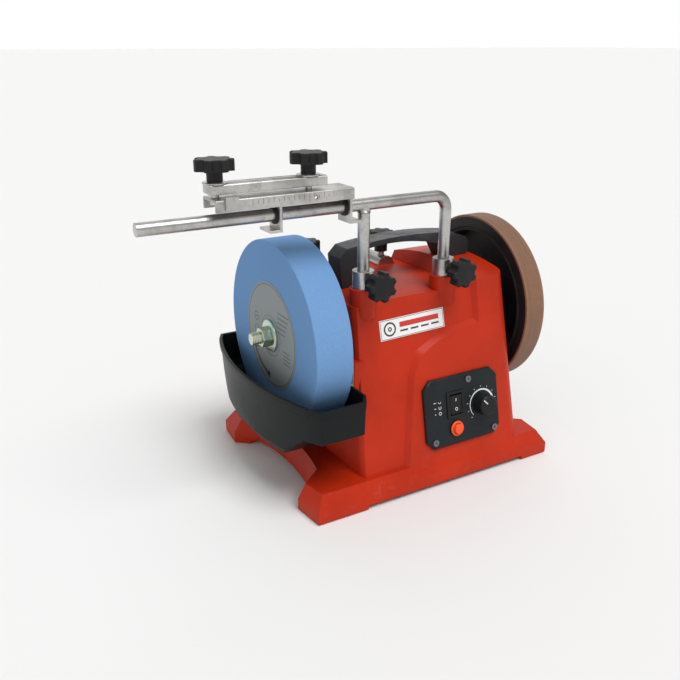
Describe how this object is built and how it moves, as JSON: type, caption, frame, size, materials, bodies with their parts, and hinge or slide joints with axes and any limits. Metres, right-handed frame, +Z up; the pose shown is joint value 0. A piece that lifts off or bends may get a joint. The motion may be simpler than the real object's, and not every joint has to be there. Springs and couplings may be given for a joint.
{
  "type": "wet grinding sharpener",
  "caption": "Water-cooled bench sharpener: grindstone in a trough and leather honing wheel on one shaft, tool support bar with straight-edge jig, speed-controlled drive.",
  "frame": {"origin": "centre of the housing's footprint on the table, directly below the shaft axis", "axes": "+X along the shaft from the grindstone towards the honing wheel, -Y towards the user and the control panel, +Z up"},
  "size_m": [0.452, 0.246, 0.3533],
  "materials": {
    "housing_red": "semi-gloss red enamel on die-cast aluminium",
    "sheet_steel": "zinc-plated sheet",
    "black_rubber": "matt black rubber",
    "steel_screw": "zinc-plated",
    "handle_grey": "dark grey textured plastic",
    "bronze": "sintered bronze",
    "bright_steel": "bright plated steel",
    "black_plastic": "black moulded plastic",
    "panel_black": "black satin plastic",
    "board_green": "solder-masked circuit board",
    "motor_steel": "dark painted steel",
    "copper": "copper windings and laminations",
    "magnet": "sintered ferrite",
    "label_white": "printed plastic film",
    "stone_blue": "fine open-grained aluminium oxide",
    "label_grey": "printed paper disc",
    "zinc_yellow": "yellow-passivated zinc",
    "leather_brown": "brown honing leather",
    "trough_black": "black moulded plastic",
    "button_orange": "orange-red plastic",
    "nylon_black": "black nylon",
    "jig_steel": "zinc-plated steel"
  },
  "bodies": {
    "housing": {"housing_shell": "housing_red", "bottom_plate": "sheet_steel", "rubber_feet": "black_rubber", "base_screws": "steel_screw", "carry_handle": "handle_grey", "handle_screws": "steel_screw", "shaft_bushes": "bronze", "front_sleeves": "bright_steel", "rear_sleeves": "bright_steel", "control_panel": "panel_black", "panel_screws": "steel_screw", "switch_housing": "black_plastic", "breaker_body": "black_plastic", "potentiometer": "sheet_steel", "control_board": "board_green", "motor_bracket": "sheet_steel", "motor_can": "motor_steel", "motor_bearings": "steel_screw", "motor_magnets": "magnet", "front_label": "label_white", "trough_clips": "sheet_steel", "cable_gland": "black_plastic"},
    "spindle": {"main_shaft": "zinc_yellow", "grinding_wheel": "stone_blue", "wheel_label": "label_grey", "wheel_inner_flange": "black_plastic", "wheel_washer": "zinc_yellow", "wheel_nut": "zinc_yellow", "honing_hub": "black_plastic", "honing_leather": "leather_brown", "drive_ring": "black_rubber", "honing_washer": "zinc_yellow", "honing_nut": "zinc_yellow"},
    "motor_rotor": {"motor_shaft": "steel_screw", "motor_armature": "copper"},
    "tool_support": {"support_bar": "bright_steel", "support_leg": "bright_steel"},
    "jig_carriage": {"jig_bushes": "nylon_black"},
    "jig_frame": {"jig_channel": "jig_steel", "jig_hangers": "jig_steel", "jig_studs": "jig_steel"},
    "jig_clamp": {"jig_clamp_bar": "jig_steel"},
    "jig_knob_left": {"jig_knob_left": "black_plastic"},
    "jig_knob_right": {"jig_knob_right": "black_plastic"},
    "water_trough": {"trough": "trough_black"},
    "rocker": {"rocker": "black_plastic"},
    "speed_knob": {"speed_knob": "black_plastic"},
    "reset_button": {"reset_button": "button_orange"},
    "front_lock_pad_left": {"front_lock_pad_left": "bronze"},
    "front_lock_left": {"front_lock_screw_left": "steel_screw", "front_lock_knob_left": "black_plastic"},
    "front_lock_pad_right": {"front_lock_pad_right": "bronze"},
    "front_lock_right": {"front_lock_screw_right": "steel_screw", "front_lock_knob_right": "black_plastic"},
    "rear_lock_pad_left": {"rear_lock_pad_left": "bronze"},
    "rear_lock_left": {"rear_lock_screw_left": "steel_screw", "rear_lock_knob_left": "black_plastic"},
    "rear_lock_pad_right": {"rear_lock_pad_right": "bronze"},
    "rear_lock_right": {"rear_lock_screw_right": "steel_screw", "rear_lock_knob_right": "black_plastic"}
  },
  "joints": [
    {"name": "spindle_spin", "type": "hinge", "parent": "housing", "child": "spindle", "pos_m": [0, 0, 0.16], "axis": [1, 0, 0], "continuous": true},
    {"name": "motor_spin", "type": "hinge", "parent": "housing", "child": "motor_rotor", "pos_m": [0, 0.03346, 0.09433], "axis": [1, 0, 0], "continuous": true},
    {"name": "support_height", "type": "slide", "parent": "housing", "child": "tool_support", "axis": [0, 0, 1], "range_m": [-0.02, 0.06]},
    {"name": "jig_travel", "type": "slide", "parent": "tool_support", "child": "jig_carriage", "axis": [1, 0, 0], "range_m": [-0.11, 0.003]},
    {"name": "jig_tilt", "type": "hinge", "parent": "jig_carriage", "child": "jig_frame", "pos_m": [-0.1, -0.0615, 0.3], "axis": [1, 0, 0], "range_deg": [-70, 70]},
    {"name": "jig_clamp_lift", "type": "slide", "parent": "jig_frame", "child": "jig_clamp", "axis": [0, 0, 1], "range_m": [0, 0.005]},
    {"name": "jig_knob_left_turn", "type": "hinge", "parent": "jig_clamp", "child": "jig_knob_left", "pos_m": [-0.218, -0.0615, 0.34], "axis": [0, 0, 1], "range_deg": [0, 1810]},
    {"name": "jig_knob_right_turn", "type": "hinge", "parent": "jig_clamp", "child": "jig_knob_right", "pos_m": [-0.128, -0.0615, 0.34], "axis": [0, 0, 1], "range_deg": [0, 1810]},
    {"name": "trough_drop", "type": "slide", "parent": "housing", "child": "water_trough", "axis": [0, 0, -1], "range_m": [0, 0.021]},
    {"name": "rocker_tilt", "type": "hinge", "parent": "housing", "child": "rocker", "pos_m": [0.0235, -0.09972, 0.08357], "axis": [1, 0, 0], "range_deg": [-8, 8]},
    {"name": "speed_turn", "type": "hinge", "parent": "housing", "child": "speed_knob", "pos_m": [0.0585, -0.10405, 0.0773], "axis": [0, -0.9799, 0.1993], "range_deg": [-270, 0]},
    {"name": "reset_press", "type": "slide", "parent": "housing", "child": "reset_button", "axis": [0, 0.9799, -0.1993], "range_m": [0, 0.003], "stiffness_N_per_m": 500, "springref_m": -0.001},
    {"name": "front_lock_left_release", "type": "slide", "parent": "housing", "child": "front_lock_pad_left", "axis": [0, -1, 0], "range_m": [0, 0.0025]},
    {"name": "front_lock_left_turn", "type": "hinge", "parent": "front_lock_pad_left", "child": "front_lock_left", "pos_m": [-0.0685, -0.0615, 0.226], "axis": [0, -1, 0], "range_deg": [0, 722]},
    {"name": "front_lock_right_release", "type": "slide", "parent": "housing", "child": "front_lock_pad_right", "axis": [0, -1, 0], "range_m": [0, 0.0025]},
    {"name": "front_lock_right_turn", "type": "hinge", "parent": "front_lock_pad_right", "child": "front_lock_right", "pos_m": [0.0295, -0.0615, 0.226], "axis": [0, -1, 0], "range_deg": [0, 722]},
    {"name": "rear_lock_left_release", "type": "slide", "parent": "housing", "child": "rear_lock_pad_left", "axis": [0, 0, 1], "range_m": [0, 0.0025]},
    {"name": "rear_lock_left_turn", "type": "hinge", "parent": "rear_lock_pad_left", "child": "rear_lock_left", "pos_m": [-0.0685, 0.058, 0.201], "axis": [0, 0, 1], "range_deg": [0, 722]},
    {"name": "rear_lock_right_release", "type": "slide", "parent": "housing", "child": "rear_lock_pad_right", "axis": [0, 0, 1], "range_m": [0, 0.0025]},
    {"name": "rear_lock_right_turn", "type": "hinge", "parent": "rear_lock_pad_right", "child": "rear_lock_right", "pos_m": [0.0295, 0.058, 0.201], "axis": [0, 0, 1], "range_deg": [0, 722]}
  ],
  "couplings": [
    {"joint": "motor_spin", "follows": "spindle_spin", "ratio": 13.333},
    {"joint": "jig_knob_left_turn", "follows": "jig_clamp_lift", "rad_per_m": 6283.2},
    {"joint": "jig_knob_right_turn", "follows": "jig_clamp_lift", "rad_per_m": 6283.2},
    {"joint": "front_lock_left_turn", "follows": "front_lock_left_release", "rad_per_m": 5026.5},
    {"joint": "front_lock_right_turn", "follows": "front_lock_right_release", "rad_per_m": 5026.5},
    {"joint": "rear_lock_left_turn", "follows": "rear_lock_left_release", "rad_per_m": 5026.5},
    {"joint": "rear_lock_right_turn", "follows": "rear_lock_right_release", "rad_per_m": 5026.5}
  ]
}
